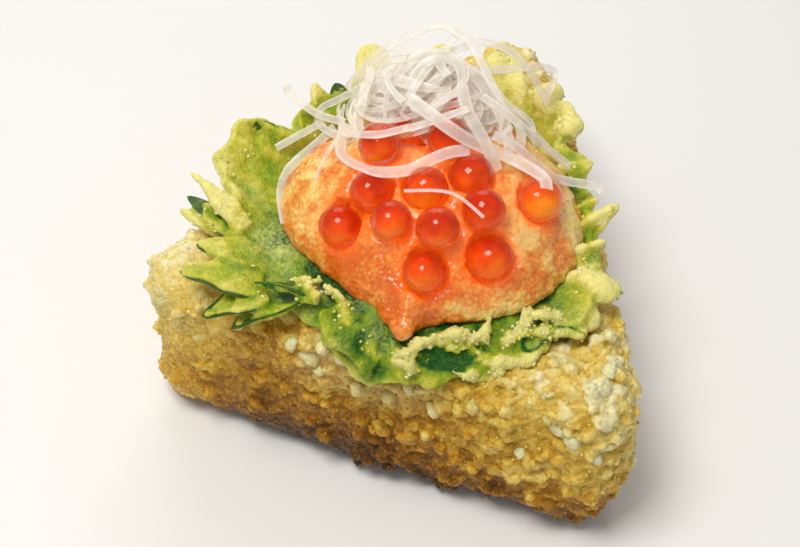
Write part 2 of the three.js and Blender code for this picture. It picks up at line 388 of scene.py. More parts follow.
def addCamera():
    azimuth = math.radians(view["azimuth"])
    elevation = math.radians(view["elevation"])
    roll = math.radians(view["roll"])
    back = Vector((math.sin(azimuth) * math.cos(elevation),
                   -math.cos(azimuth) * math.cos(elevation), math.sin(elevation)))
    right = Vector((math.cos(azimuth), math.sin(azimuth), 0))
    up = back.cross(right)
    side = right * math.cos(roll) + up * math.sin(roll)
    top = up * math.cos(roll) - right * math.sin(roll)
    middle = Vector(view["middle"]) * mm
    eye = middle + back * view["distance"]
    aim = middle + side * view["aimSide"] * mm + top * view["aimUp"] * mm
    away = (eye - aim).normalized()
    across = top.cross(away).normalized()
    turn = Matrix((across, away.cross(across), away)).transposed()
    bpy.ops.object.camera_add(location=eye, rotation=turn.to_euler())
    camera = bpy.context.object
    camera.data.lens = view["lens"]
    camera.data.sensor_width = view["sensor"]
    camera.data.clip_start = view["clipStart"]
    bpy.context.scene.camera = camera


lights = {
    "key": {"place": (-0.09, -0.13, 0.44), "size": 0.17, "power": 1.48, "colour": (1.0, 0.985, 0.96)},
    "back": {"place": (-0.16, 0.36, 0.26), "size": 0.3, "power": 0.6, "colour": (1.0, 0.985, 0.95)},
}
surround = {
    "colour": (1.0, 0.99, 0.97, 1.0),
    "strength": 0.37,
    "floor": tint(236, 235, 232),
    "floorSize": 4,
    "floorDrop": 0.05 * mm,
}


def addStage():
    for name, light in lights.items():
        place = Vector(light["place"])
        turn = place.to_track_quat("Z", "Y").to_euler()
        bpy.ops.object.light_add(type="AREA", location=place, rotation=turn)
        lamp = bpy.context.object
        lamp.name = name
        lamp.data.shape = "SQUARE"
        lamp.data.size = light["size"]
        lamp.data.energy = light["power"]
        lamp.data.color = light["colour"]
    world = bpy.data.worlds.new("soft room")
    world.use_nodes = True
    background = world.node_tree.nodes["Background"]
    background.inputs["Color"].default_value = surround["colour"]
    background.inputs["Strength"].default_value = surround["strength"]
    bpy.context.scene.world = world
    bpy.context.scene.view_settings.view_transform = "Standard"
    deselectAll()
    bpy.ops.mesh.primitive_plane_add(size=surround["floorSize"], location=(0, 0, -surround["floorDrop"]))
    floor = bpy.context.object
    floor.name = "floor"
    paper = Paint("pale floor", Base_Color=surround["floor"], Roughness=0.7)
    floor.data.materials.append(paper.material)


addCamera()
addStage()
print("camera, light and floor")


# fried rice block
rice = {
    "coreVoxel": 0.9 * mm,
    "coreInset": 0.5 * mm,
    "lump": (6 * mm, 1.3 * mm),  # size and height
    "grainHalf": (1.7 * mm, 1.25 * mm, 1.1 * mm),
    "grainKinds": 5,
    "grainBend": 0.3,  # each kind is bent this much more than the one before
    "grainRough": 0.16,  # share by which its points stray
    "crumbHalf": (0.36 * mm, 0.32 * mm, 0.28 * mm),
    "crumbKinds": 4,
    # laid over the rice: how far apart, tilt, smallest and largest size, and how deep they sink
    "grainLayer": (2.1 * mm, 0.8, ((0.6, 0.65, 0.75), (1.3, 1.25, 1.2)), 0.12 * mm),
    "crumbLayer": (1.5 * mm, 1.5, ((0.5, 0.5, 0.5), (1.2, 1.2, 1.2)), 0.05 * mm),
    "looseLayer": (7.5 * mm, 0.7, ((0.5, 0.55, 0.7), (1.15, 1.1, 1.0)), 0.5 * mm),
    "looseAbove": (12, 8),  # loose grains start at this height and are full this much higher, mm
    "crustVoxel": 0.37 * mm,
    "triangles": 196000,
    "reliefRounds": 14,
    # size, height at the smooth end and at the clumpy end, and how far each grain stands by itself
    "bigCells": (2.4, 0.17, 0.38, 0.6),
    "smallCells": (1.2, 0.17, 0.18, 0.8),
    "gapNarrow": 2.2,  # the larger, the narrower the gaps between grains
    "cellSink": 0.6,  # how far the gaps go in, as a share of the height
    "cellSway": (2.2, 0.35),  # size and reach of the sway that keeps the cells from straight edges
    # grains left nearly white: where, mm, and how big
    "whiteGrains": [
        (-9.1, -26.5, 24.9, 1.1), (-6.6, -26.5, 28.2, 0.9), (-4.1, -26.5, 26.8, 1.0),
        (-11.5, -26.5, 26.6, 0.8), (9.0, -26.0, 20.7, 0.9), (29.0, -24.0, 24.0, 1.2),
        (27.0, -24.5, 24.8, 1.0), (30.9, -21.0, 30.5, 1.2), (30.9, -18.0, 31.0, 1.0),
        (22.2, -25.5, 18.1, 0.8), (31.7, -25.0, 21.3, 0.9), (-1.0, -26.5, 21.5, 0.9),
        (2.5, -26.5, 22.0, 0.8), (-7.8, -26.5, 22.3, 0.8), (5.5, -26.0, 24.0, 0.9),
    ],
    "whiteSink": 0.35 * mm,
    "whiteTone": -0.4,
    # from nearly white to toasted brown; the darker end also carries painted shade
    "shades": [(0.08, 232, 222, 172), (0.25, 226, 202, 114), (0.42, 216, 178, 68),
               (0.6, 190, 138, 26), (0.8, 142, 92, 10), (1.0, 80, 52, 12)],
    "seed": 11,
}


# an uneven lump; "rise" runs from 0 at its foot to 1 on its top
def grainShape(name, half, bend, seed, fineness=2):
    deselectAll()
    bpy.ops.mesh.primitive_ico_sphere_add(subdivisions=fineness, radius=1)
    grain = bpy.context.object
    grain.name = name
    draw = random.Random(seed)
    stray = [1 + draw.uniform(-rice["grainRough"], rice["grainRough"]) for _ in grain.data.vertices]
    for vertex, scale in zip(grain.data.vertices, stray):
        vertex.co *= scale
    keepAttribute(grain, "rise", [vertex.co.z / 2 + 0.5 for vertex in grain.data.vertices])
    grain.scale = half
    settle(grain)
    if bend:
        shapeWith(grain, "SIMPLE_DEFORM", deform_method="BEND", angle=bend, deform_axis="Z")
    makeActive(grain)
    bpy.ops.object.shade_smooth()
    return grain


# whole grains show more towards the right-hand end and in a paler patch just under the leaf
def keepClumps(piece):
    values, whites = [], []
    for vertex in piece.data.vertices:
        x, y, z = vertex.co / mm
        patch = noise.noise(vertex.co / (9 * mm)) + 0.5 * noise.noise(vertex.co / (4 * mm))
        white = max(0, 1 - ((x + 1) / 13) ** 2 - ((z - 24) / 8) ** 2) if y < -15 else 0
        share = 0.35 + 0.013 * x + 0.012 * (z - 15) + 0.8 * patch + 0.6 * white
        values.append(min(1, max(0.12, share)))
        whites.append(white)
    keepAttribute(piece, "clumps", values)
    keepAttribute(piece, "white", whites)


# grains packed side by side and stuck together: each point rises by where it lies in its grain,
# the gaps and a number for every grain are kept for the paint
def packGrains(piece, name, size, smoothHeight, clumpyHeight, apart):
    points = readPoints(piece)
    gaps, numbers = np.empty(len(points)), np.empty(len(points))
    swaySize, swayReach = rice["cellSway"]
    noise.seed_set(rice["seed"])  # noise_vector differs from run to run without it
    for index, point in enumerate(points):
        place = Vector(point) / mm
        place += noise.noise_vector(place / swaySize) * swayReach
        (near, far, *_), (centre, *_) = noise.voronoi(place / size)
        gaps[index] = max(0.0, 1 - rice["gapNarrow"] * (far - near)) ** 2
        numbers[index] = noise.cell(centre * 53) * 0.5 + 0.5
    height = smoothHeight + (clumpyHeight - smoothHeight) * readAttribute(piece, "clumps")
    rise = (1 - gaps) * (1 + (numbers - 0.5) * 2 * apart) - rice["cellSink"]
    movePoints(piece, points + readPoints(piece, "normal") * (height * rise * mm)[:, None])
    keepAttribute(piece, name + "Gap", gaps)
    keepAttribute(piece, name + "Number", numbers)


# nothing reaches under the floor
def flattenUnder(piece):
    points = readPoints(piece)
    points[:, 2] = points[:, 2].clip(0)
    movePoints(piece, points)


# paler whole grains set into the crust one by one
def addWhiteGrains(core, loose):
    surface = BVHTree.FromObject(core, bpy.context.evaluated_depsgraph_get())
    draw = random.Random(rice["seed"] + 200)
    extra = []
    for *place, size in rice["whiteGrains"]:
        point, normal, *_ = surface.find_nearest(Vector(place) * mm)
        grain = grainShape("whiteGrain", [half * size for half in rice["grainHalf"]], 0, draw.random())
        grain.location = point - normal * rice["whiteSink"]
        spin = Quaternion((0, 0, 1), draw.uniform(0, math.pi))
        grain.rotation_euler = (normal.to_track_quat("Z", "Y") @ spin).to_euler()
        settle(grain)
        keepAttribute(grain, "tone", [rice["whiteTone"]] * len(grain.data.vertices))
        extra.append(grain)
    joinInto(loose, extra)


def makeRice():
    seed = rice["seed"]
    core = copyNode("rice_block", "riceCrust")
    remeshAt(core, rice["coreVoxel"])
    soften(core, 4)
    shapeWith(core, "DISPLACE", strength=-rice["coreInset"], mid_level=0)
    bumpy(core, *rice["lump"])
    grains = [grainShape(f"grain{i}", rice["grainHalf"], rice["grainBend"] * i, seed + i)
              for i in range(rice["grainKinds"])]
    crumbs = [grainShape(f"crumb{i}", rice["crumbHalf"], 0, seed + 40 + i, 1)
              for i in range(rice["crumbKinds"])]
    keepClumps(core)
    layer = scatterOver(core, "grainLayer", grains, *rice["grainLayer"], seed, "clumps")
    joinInto(core, [layer])
    remeshAt(core, rice["crustVoxel"])
    soften(core, 5)
    keepClumps(core)  # again, as remeshing drops what was kept
    packGrains(core, "big", *rice["bigCells"])
    packGrains(core, "small", *rice["smallCells"])
    triangles = 2 * len(core.data.polygons)
    if triangles > rice["triangles"]:
        shapeWith(core, "DECIMATE", ratio=rice["triangles"] / triangles)
    keepRelief(core, rice["reliefRounds"])
    makeActive(core)
    bpy.ops.object.shade_smooth()
    flattenUnder(core)
    start, rise = rice["looseAbove"]
    share = ((readPoints(core)[:, 2] / mm - start) / rise).clip(0, 1)
    keepAttribute(core, "upper", readAttribute(core, "clumps") * share)
    print("crust with its grains")

    scattered = scatterOver(core, "crustCrumbs", crumbs, *rice["crumbLayer"], seed + 90)
    loose = scatterOver(core, "looseGrains", grains, *rice["looseLayer"], seed + 100, "upper")
    addWhiteGrains(core, loose)
    flattenUnder(scattered)
    flattenUnder(loose)
    for part in grains + crumbs:
        bpy.data.objects.remove(part)
    return core, scattered, loose


# golden where it browned; darker towards the bottom, partly toasting and partly painted shade, less so
# on the left face, which is painted lighter as if lit more; paler at the top edges and at the right-hand
# end, from paler grains there and partly painted light
def crustColour(paint, extra):
    low = paint.span(paint.height(), 16.0, 0.5)
    left = paint.span(paint.along(0), -14.0, -31.0)
    right = paint.span(paint.along(0), 10.0, 30.0)
    point = paint.span(paint.along(1), 22.0, 40.0)
    top = paint.span(paint.height(), 17.0, 30.0)
    rim = paint.span(paint.height(), 5.0, 0.5)
    patches = paint.noise(8, 3)
    spots = paint.noise(2.2, 3)
    # the sum holds toasting and painted light and shade: low and rim darken the bottom, left lightens
    # the left face, and top and right partly lighten
    toastAndShade = (low * (0.47 - left * 0.36) + rim * 0.16 - left * 0.24 - right * 0.2 - top * 0.11
             - point * top * 0.25 - left * top * 0.12
             + (patches - 0.5) * 0.3 + (spots - 0.5) * 0.22 + extra + 0.66)
    return paint.ramp(toastAndShade, *rice["shades"])


def crustPaint():
    paint = Paint("fried rice crust", (0.75, (1.0, 0.65, 0.28), 1.5), Specular_IOR_Level=0.2)
    relief = paint.attribute("relief")
    clumps = paint.attribute("clumps")
    # gaps and relief darken the hollows between grains: the amber of the crevices together with painted
    # shade
    gaps = paint.attribute("bigGap") * 0.09 + paint.attribute("smallGap") * 0.03
    number = paint.attribute("bigNumber")
    grains = ((number - 0.5) * 0.1 + paint.span(number, 0.5, 0.8) * clumps * 0.15
              + (paint.attribute("smallNumber") - 0.5) * 0.06)
    glints = paint.span(paint.noise(0.4, 2), 0.56, 0.68) * 0.14
    white = paint.attribute("white")
    colour = crustColour(
        paint, gaps - grains - glints - relief * 0.14 - white * 0.18 - clumps * 0.1 - 0.01)
    paint.put("Base Color", paint.blend(white * 0.4, colour, tint(212, 190, 138)))
    paint.put("Roughness", paint.span(paint.noise(0.5, 2), 0.35, 0.65, 0.1, 0.5))
    grit = paint.bump(paint.noise(0.28, 3), 0.6, 0.14)
    paint.put("Normal", paint.bump(paint.cells(0.6), 0.8, -0.22, grit))
    return paint


def crumbPaint():
    paint = Paint("rice crumbs on the crust", (0.6, (1.0, 0.65, 0.3), 0.9), Roughness=0.25)
    tone = paint.attribute("tone")
    paint.put("Base Color", crustColour(paint, tone * 0.18 - 0.17))
    paint.put("Normal", paint.bump(paint.noise(0.4, 3), 0.8, 0.2))
    return paint


# whole grains: darker amber at the foot and paler on top, partly painted shade where a grain sinks into
# the crust
def grainPaint():
    paint = Paint("plain rice grain", (0.7, (1.0, 0.75, 0.4), 1.4), Roughness=0.28)
    tone = paint.attribute("tone")
    rise = paint.attribute("rise")
    paint.put("Base Color", crustColour(paint, tone * 0.3 - rise * 0.2 - 0.2))
    grit = paint.bump(paint.noise(0.3, 3), 0.8, 0.16)
    paint.put("Normal", paint.bump(paint.cells(0.8), 0.9, -0.35, grit))
    return paint


crust, crustCrumbs, looseGrains = makeRice()
finishPiece(crust, crustPaint(), "rice_block")
finishPiece(crustCrumbs, crumbPaint())
finishPiece(looseGrains, grainPaint())


# battered leaf
leaf = {
    "centre": (0.5, -4.0),  # middle of the paste, mm; bearings turn about it from +X
    "hole": 12.0,  # the sheet starts here, out of sight under the paste
    "under": 32.3,
    "freeFrom": 19.5,
    "liftCurve": 1.6,
    "ruffle": 0.5,
    "ruffles": 17,
    "scallop": 0.7,
    "scallops": 14.5,
    "columns": 320,
    "rings": 22,
    "toothGrid": (12, 20),
    # bearing, reach and lift of the rim
    "rim": [
        (-42, 24, -3), (-35, 25.5, -2), (-28, 24.5, -1), (-22, 27, 1), (-12, 26.5, 1.5),
        (-1, 26, 1), (6, 24, 2), (14, 23.5, 2.5), (20, 22.5, 3), (27, 23.5, 3), (37, 23, 3.5),
        (47, 25, 4), (55, 24, 4), (62, 27.5, 4), (69, 26.5, 4), (76, 30, 4), (84, 28.5, 4),
        (92, 31, 4), (100, 29, 3.5), (108, 31, 3.5), (116, 28, 3.5), (124, 27, 3.5),
        (132, 27, 4), (141, 24.5, 4), (148, 24, 4.5), (153, 26, 5), (158, 26.5, 5),
        (163, 24.5, 4.5), (168, 30, 5.5), (173, 32, 6), (178, 31, 5.5), (184, 32.5, 5.5),
        (190, 30, 4), (196, 28, 3.5), (203, 28, 2.5), (211, 28.5, 1.5), (219, 29, 0.5),
        (226, 28, -0.5), (233, 25, -2), (240, 23, -2.5), (247, 22.5, -2), (254, 23.5, -3.5),
        (262, 24, -5), (271, 25, -5.5), (280, 24, -5), (290, 24.5, -4.5), (300, 24, -4),
        (310, 25, -3.5),
    ],
    "batterHalf": 0.85,
    "bladeHalf": 0.13,
    "bladeReach": 0.12,  # the blade's cut edge shows this far outside the batter at thin teeth
    "bladeInset": -0.6,  # and stays this far inside it elsewhere
    "voxel": 0.3 * mm,
    "lump": (4.2 * mm, 1.1 * mm),
    "smallLump": (1.6 * mm, 0.5 * mm),
    "pit": (0.6 * mm, 0.22 * mm),
    "crumbHalf": (0.42 * mm, 0.36 * mm, 0.3 * mm),
    "crumbKinds": 3,
    "crumbLayer": (0.8 * mm, 1.5, ((0.5, 0.5, 0.5), (1.3, 1.3, 1.3)), 0.08 * mm),
    "ropeStep": 0.6,  # from one knob of a batter rope to the next, and how far each strays, mm
    "ropeStray": 0.45,
    "paleReach": 0.5 * mm,  # how far a rope's pale colour goes, and its crumbs
    "crumblyReach": 1.2 * mm,
    "bareReach": 0.6 * mm,
    "ovalLine": 0.16,  # half the width of an oval's dark edge, as a share of the oval
    "speckSize": 3.5 * mm,  # patches with more crumbs and with fewer
    "reliefRounds": 20,
    "seed": 31,
}

# teeth and folded tips: bearing, reach and height of the root, the same of the tip, then
# width, roll in degrees, arch of the middle line, crease, share of batter on top, and bluntness
teeth = [
    (124, 25, 34, 127, 32.5, 39.5, 9, 0, 1.0, 0.0, 1.0, 1.0),
    (149, 23, 34, 147, 28.5, 39, 5, 10, 0.5, 0.5, 0.9, 0.7),
    (141, 23, 34, 141, 27, 38.5, 5, -15, 0.5, 0.2, 0.6, 0.7),
    (206, 26, 34.4, 192, 34.5, 37.8, 3.2, -5, 0.8, 0.1, 1.0, 0.6),
    (207, 26, 33, 196, 34.5, 35.3, 3.8, -20, 0.5, 0.1, 0.3, 0.5),
    (203, 30, 32.6, 198.5, 35.5, 34.2, 2.2, -10, 0.2, 0.1, 1.0, 0.6),
    (217, 25, 33.5, 210, 33, 34.2, 6.2, 10, 0.6, 0.1, 1.0, 0.6),
    (227, 26, 33.3, 217, 36, 34, 7, 5, 0.8, 0.1, 1.0, 0.5),
    (230, 26, 33, 227, 35, 31, 6, 10, 0.6, 0.1, 1.0, 0.5),
    (236, 22, 33.2, 232, 32, 30, 5.6, 20, 0.6, 0.2, 0.6, 0.7),
    (241, 22, 34.2, 229, 27.5, 35.4, 2.4, 40, 0.6, 0.3, 0.4, 0.2),
    (252, 20, 34, 271, 25.5, 28.0, 9, 0, 1.8, 0.1, 1.0, 0.0),
    (286, 20, 31, 316, 25.5, 30.2, 5, -50, 1.2, 0.3, 0.8, 0.0),
    (306, 22, 31, 322, 26.6, 30.6, 4, -20, 0.3, 0.2, 1.0, 0.2),
    (320, 22, 32, 329, 24.5, 33.5, 3.6, -40, 0.2, 0.2, 1.0, 0.7),
    (328, 23, 32, 338, 28.4, 32.6, 4, -35, 0.3, 0.2, 1.0, 0.5),
    (44, 20, 34, 42, 26, 37, 3.8, 30, 0.4, 0.4, 1.0, 0.4),
    (22, 20, 34, 28, 24.2, 36.3, 3.2, 55, 0.4, 0.2, 1.0, 0.3),
    (14, 21, 34, 23, 26.5, 36.5, 3.4, 55, 0.4, 0.2, 1.0, 0.3),
    (358, 20, 34, 10, 25.2, 35.6, 3.6, 55, 0.4, 0.2, 1.0, 0.3),
    (350, 22, 33.5, 2, 25, 34.5, 3, 40, 0.3, 0.1, 1.0, 0.4),
    (66, 23, 34, 64, 30, 38, 6, 10, 0.4, 0.1, 1.0, 1.0),
    (84, 25, 34, 86, 33, 38.5, 7, -5, 0.6, 0.1, 1.0, 1.0),
    (104, 25, 34, 106, 33, 38.5, 7, 5, 0.6, 0.1, 1.0, 1.0),
]
# thick drops of batter: bearing, reach, height and half sizes
drops = [
    (354, 25.5, 33.6, 3.6, 2.6, 1.9),
    (343, 25.5, 32.4, 3.2, 2.6, 1.7),
    (335, 22.5, 32.6, 3.0, 1.8, 1.0),
    (72, 29, 37.0, 3.0, 2.4, 1.8),
    (60, 27, 36.5, 2.6, 2.2, 1.6),
    (90, 31, 37.5, 2.8, 2.2, 1.8),
]
# crumbly ropes of batter, by the points they run through and the half width there, mm
ropes = [
    [(4.8, -26.2, 31.6, 0.9), (5.4, -25.9, 32.4, 0.8), (6.3, -24.9, 33.6, 0.7),
     (7.6, -23.8, 34.0, 0.8), (9.6, -22.5, 33.9, 0.9), (11.7, -21.9, 34.3, 0.9),
     (13.4, -21.4, 33.3, 0.7)],
    [(13.7, -18.0, 34.0, 0.7), (14.3, -20.1, 33.9, 0.8), (14.2, -21.6, 32.7, 0.7)],
    [(5.5, -26.9, 31.0, 0.9), (6.7, -27.2, 30.4, 0.7)],
    [(16.9, -19.3, 32.2, 0.7), (17.6, -18.2, 33.7, 0.8), (18.7, -16.4, 34.8, 0.9),
     (20.7, -15.1, 34.9, 0.9), (22.7, -14.2, 34.1, 0.7)],
    [(-10.2, -20.6, 34.7, 0.5), (-8.0, -21.6, 34.8, 0.6), (-5.6, -23.0, 34.5, 0.6),
     (-3.9, -24.9, 33.8, 0.65), (-2.5, -26.6, 32.9, 0.6)],
    [(-13.0, -21.4, 34.8, 0.7), (-12.0, -22.3, 35.2, 0.9), (-10.4, -22.7, 35.4, 0.8),
     (-9.6, -23.4, 35.0, 0.8), (-10.2, -24.0, 34.0, 0.8)],
    [(16.7, -22.7, 30.4, 0.9), (17.5, -23.1, 29.3, 0.7), (17.9, -23.6, 28.3, 0.4)],
    [(-0.4, -26.3, 32.0, 0.8), (0.6, -27.1, 31.3, 0.9), (0.9, -27.4, 30.3, 0.6)],
    [(20.0, -20.3, 31.0, 0.6), (21.8, -19.5, 31.2, 0.5)],
    [(9.8, -23.8, 32.7, 0.35), (12.0, -23.5, 32.5, 0.4), (14.3, -22.8, 32.1, 0.45),
     (16.0, -22.5, 31.4, 0.4)],
    [(11.2, -25.7, 30.6, 0.4), (13.2, -25.4, 30.2, 0.6), (15.0, -24.9, 29.6, 0.6)],
]
# places where little batter holds and the green shows: point and reach, mm, and strength
bareSpots = [
    (7.3, -25.3, 31.6, 1.4, 1.0), (8.5, -24.8, 31.3, 1.5, 1.0), (9.8, -24.4, 31.2, 1.4, 1.0),
    (11.2, -24.3, 31.2, 1.3, 1.0), (12.4, -24.4, 30.9, 1.1, 0.9), (12.7, -22.6, 32.0, 1.1, 0.8),
    (14.1, -22.5, 31.8, 1.1, 0.8), (15.5, -22.3, 31.4, 1.0, 0.8), (-11.0, -23.7, 34.9, 0.6, 0.9),
    (-15.6, -24.9, 35.4, 0.7, 1.0), (-13.5, -22.9, 32.3, 0.9, 1.0), (-8.9, -23.9, 33.9, 1.5, 0.3),
    (-3.2, -28.0, 32.3, 1.4, 0.2), (1.1, -28.6, 28.9, 1.4, 0.3), (-25.0, -15.2, 33.8, 1.0, 0.9),
    (-28.0, -14.5, 34.6, 1.0, 0.9), (-31.0, -13.9, 35.2, 0.8, 0.8),
]
# dark-edged ovals of bare leaf: middle, and the half axes they lie along, mm
ovals = [
    ((20.5, -17.4, 32.9), (1.0, 1.8, 1.6), (-1.2, 0.25, 0.47)),
    ((24.5, -16.0, 32.9), (2.3, 0.85, -0.6), (-0.13, 0.9, 0.75)),
]


def around(bearing, reach, height):
    turn = math.radians(bearing)
    return Vector((leaf["centre"][0] + reach * math.cos(turn),
                   leaf["centre"][1] + reach * math.sin(turn), height))


# reach and lift of the rim at any bearing, eased from one entry to the next
def rimAt(bearing):
    rim = leaf["rim"]
    bearing = (bearing - rim[0][0]) % 360 + rim[0][0]
    closed = rim + [(rim[0][0] + 360, *rim[0][1:])]
    for (start, *first), (end, *second) in zip(closed, closed[1:]):
        if start <= bearing <= end:
            share = (bearing - start) / (end - start)
            share = share * share * (3 - 2 * share)
            return [a + (b - a) * share for a, b in zip(first, second)]
    return rim[0][1:]


# a flat grid whose points are moved to where the rule puts them, u and v from 0 to 1
def sheetFrom(name, across, along, rule):
    deselectAll()
    bpy.ops.mesh.primitive_grid_add(x_subdivisions=across, y_subdivisions=along, size=2)
    sheet = bpy.context.object
    sheet.name = name
    for vertex in sheet.data.vertices:
        vertex.co = rule((vertex.co.x + 1) / 2, (vertex.co.y + 1) / 2) * mm
    mergeClose(sheet, 0.02 * mm)
    return sheet


def sheetPoint(u, v, extra=0.0):
    bearing = 360 * u
    reach, lift = rimAt(bearing)
    scallop = abs(math.sin(math.radians(bearing * leaf["scallops"]))) - 0.5
    reach += extra + leaf["scallop"] * scallop
    here = leaf["hole"] + (reach - leaf["hole"]) * v
    out = max(0.0, (here - leaf["freeFrom"]) / max(1.0, reach - leaf["freeFrom"]))
    wave = leaf["ruffle"] * out * math.sin(math.radians(bearing * leaf["ruffles"]) + 7 * v)
    return around(bearing, here, leaf["under"] + lift * out ** leaf["liftCurve"] + wave)


def toothPoint(tooth, u, v, extra=0.0):
    root, tip = around(*tooth[:3]), around(*tooth[3:6])
    width, roll, arch, crease, _, blunt = tooth[6:]
    axis = (tip - root).normalized()
    flat = axis.cross(Vector((0, 0, 1))).normalized()
    flat = Matrix.Rotation(math.radians(roll), 3, axis) @ flat
    normal = flat.cross(axis)
    side = 2 * u - 1
    along = v * ((tip - root).length + extra)
    profile = (1 - v ** (2.2 + 1.6 * blunt)) ** (0.85 - 0.35 * blunt)
    profile *= 0.72 + 0.28 * math.sin(math.pi * min(1, 1.5 * v))
    half = (width / 2 + extra) * profile
    bow = arch * math.sin(math.pi * v) - crease * width * 0.5 * (1 - abs(side)) * (1 - v)
    return root + axis * along + flat * side * half + normal * bow


# 1 inside any of the balls, fading to 0 over the soft distance outside them
def nearSpots(piece, spots, soft):
    points = readPoints(piece)
    share = np.zeros(len(points))
    for *place, reach, strength in spots:
        gap = np.sqrt(((points - np.array(place)) ** 2).sum(1)) - reach
        share = np.maximum(share, strength * (1 - gap / soft).clip(0, 1))
    return share


# how far out each point is in an oval: 0 in its middle, 1 on its edge, 9 where it isn't near
def ovalReach(piece):
    points = readPoints(piece) / mm
    nearest = np.full(len(points), 9.0)
    for middle, longWay, shortWay in ovals:
        offset = points - np.array(middle)
        longWay, shortWay = np.array(longWay), np.array(shortWay)
        out = np.hypot(offset @ longWay / (longWay @ longWay),
                       offset @ shortWay / (shortWay @ shortWay))
        out[(offset ** 2).sum(1) > 9] = 9  # more than 3 mm away
        nearest = np.minimum(nearest, out)
    return nearest


def addTooth(tooth, blades, coats):
    bearing, width, share = tooth[0], tooth[6], tooth[10]
    grid = leaf["toothGrid"]
    if share < 0.7 or 206 < bearing < 260:  # the blade shows in thinly battered and left-hand teeth
        reach = leaf["bladeReach" if width < 8 else "bladeInset"]
        blades.append(sheetFrom("tooth", *grid, lambda u, v: toothPoint(tooth, u, v, reach)))
    coat = sheetFrom("toothCoat", *grid, lambda u, v: toothPoint(tooth, u, v))
    thick = leaf["batterHalf"] * (0.75 + 0.75 * share) * mm
    shapeWith(coat, "SOLIDIFY", thickness=thick, offset=share - 1)
    coats.append(coat)


def addDrop(bearing, reach, height, *half):
    deselectAll()
    bpy.ops.mesh.primitive_uv_sphere_add(segments=16, ring_count=10, radius=1,
                                         location=around(bearing, reach, height) * mm)
    drop = bpy.context.object
    drop.scale = [size * mm for size in half]
    drop.rotation_euler = (0, 0, math.radians(bearing))
    settle(drop)
    return drop


# place and radius of the uneven lumps that make up the batter ropes
def ropeKnobs():
    draw = random.Random(leaf["seed"])
    stray = leaf["ropeStray"]
    knobs = []
    for path in ropes:
        for (*start, first), (*end, last) in zip(path, path[1:]):
            start, end = Vector(start), Vector(end)
            steps = max(2, round((end - start).length / leaf["ropeStep"]))
            for step in range(steps):
                off = Vector([draw.uniform(-stray, stray) for _ in range(3)])
                place = (start.lerp(end, step / steps) + off) * mm
                radius = (first + (last - first) * step / steps) * draw.uniform(0.55, 1.0) * mm
                knobs.append((*place, radius))
                for _ in range(3):  # smaller crumbs stuck to it
                    away = Vector([draw.uniform(-1, 1) for _ in range(3)]).normalized()
                    knobs.append((*(place + away * radius * 1.1), radius * draw.uniform(0.35, 0.7)))
    return knobs


# what the paint and the crumbs need to know about each point of the batter
def markBatter(batter, blade, knobs):
    depths = [blade.find_nearest(vertex.co)[3] / mm for vertex in batter.data.vertices]
    keepAttribute(batter, "coat", depths)
    knobs = [(*knob, 1.0) for knob in knobs]
    keepAttribute(batter, "pale", nearSpots(batter, knobs, leaf["paleReach"]))
    spots = [(x * mm, y * mm, z * mm, reach * mm, strength) for x, y, z, reach, strength in bareSpots]
    bare = nearSpots(batter, spots, leaf["bareReach"])
    keepAttribute(batter, "bare", bare)
    out = ovalReach(batter)
    keepAttribute(batter, "line", (1 - np.abs(out - 1) / leaf["ovalLine"]).clip(0, 1))
    keepAttribute(batter, "fresh", ((1.1 - out) / 0.2).clip(0, 1))
    keepRelief(batter, leaf["reliefRounds"])
    offset = readPoints(batter)[:, :2] / mm - np.array(leaf["centre"])
    keepAttribute(batter, "reach", np.hypot(*offset.T))
    speck = np.array([noise.noise(vertex.co / leaf["speckSize"]) for vertex in batter.data.vertices])
    share = nearSpots(batter, knobs, leaf["crumblyReach"]) - 2 * bare
    keepAttribute(batter, "crumbly", (0.9 * share + 1.6 * speck - 0.25).clip(0, 1))


def makeLeaf():
    grid = (leaf["columns"], leaf["rings"])
    blades = [sheetFrom("leafBlade", *grid, lambda u, v: sheetPoint(u, v, leaf["bladeInset"]))]
    coats = [sheetFrom("leafBatter", *grid, sheetPoint)]
    shapeWith(coats[0], "SOLIDIFY", thickness=2 * leaf["batterHalf"] * mm, offset=0)
    for tooth in teeth:
        addTooth(tooth, blades, coats)
    for drop in drops:
        coats.append(addDrop(*drop))
    knobs = ropeKnobs()
    for *place, radius in knobs:
        deselectAll()
        bpy.ops.mesh.primitive_ico_sphere_add(subdivisions=2, location=place, radius=radius)
        settle(bpy.context.object)
        coats.append(bpy.context.object)
    blade = joinInto(blades[0], blades[1:])
    thinBlade = BVHTree.FromObject(blade, bpy.context.evaluated_depsgraph_get())
    shapeWith(blade, "SOLIDIFY", thickness=2 * leaf["bladeHalf"] * mm, offset=0)
    mergeClose(blade)
    batter = joinInto(coats[0], coats[1:])
    remeshAt(batter, leaf["voxel"])
    soften(batter, 3)
    bumpy(batter, *leaf["lump"])
    bumpy(batter, *leaf["smallLump"])
    remeshAt(batter, leaf["voxel"])
    soften(batter, 1)
    bumpy(batter, *leaf["pit"])
    markBatter(batter, thinBlade, knobs)
    bpy.ops.object.shade_smooth()
    print("leaf with its batter")

    crumbs = [grainShape(f"batterCrumb{i}", leaf["crumbHalf"], 0, leaf["seed"] + i, 1)
              for i in range(leaf["crumbKinds"])]
    bits = scatterOver(batter, "batterCrumbs", crumbs, *leaf["crumbLayer"], leaf["seed"] + 10,
                       "crumbly")
    for part in crumbs:
        bpy.data.objects.remove(part)
    return blade, batter, bits


def bladePaint():
    paint = Paint("leaf blade", (0.15, (0.6, 1.0, 0.2), 0.8), Roughness=0.5, Specular_IOR_Level=0.3)
    mottle = paint.noise(1.5, 3)
    paint.put("Base Color", paint.ramp(mottle, (0.3, 34, 62, 14), (0.55, 58, 92, 22),
                                       (0.8, 104, 128, 36)))
    paint.put("Normal", paint.bump(paint.noise(0.6, 2), 0.4, 0.1))
    return paint


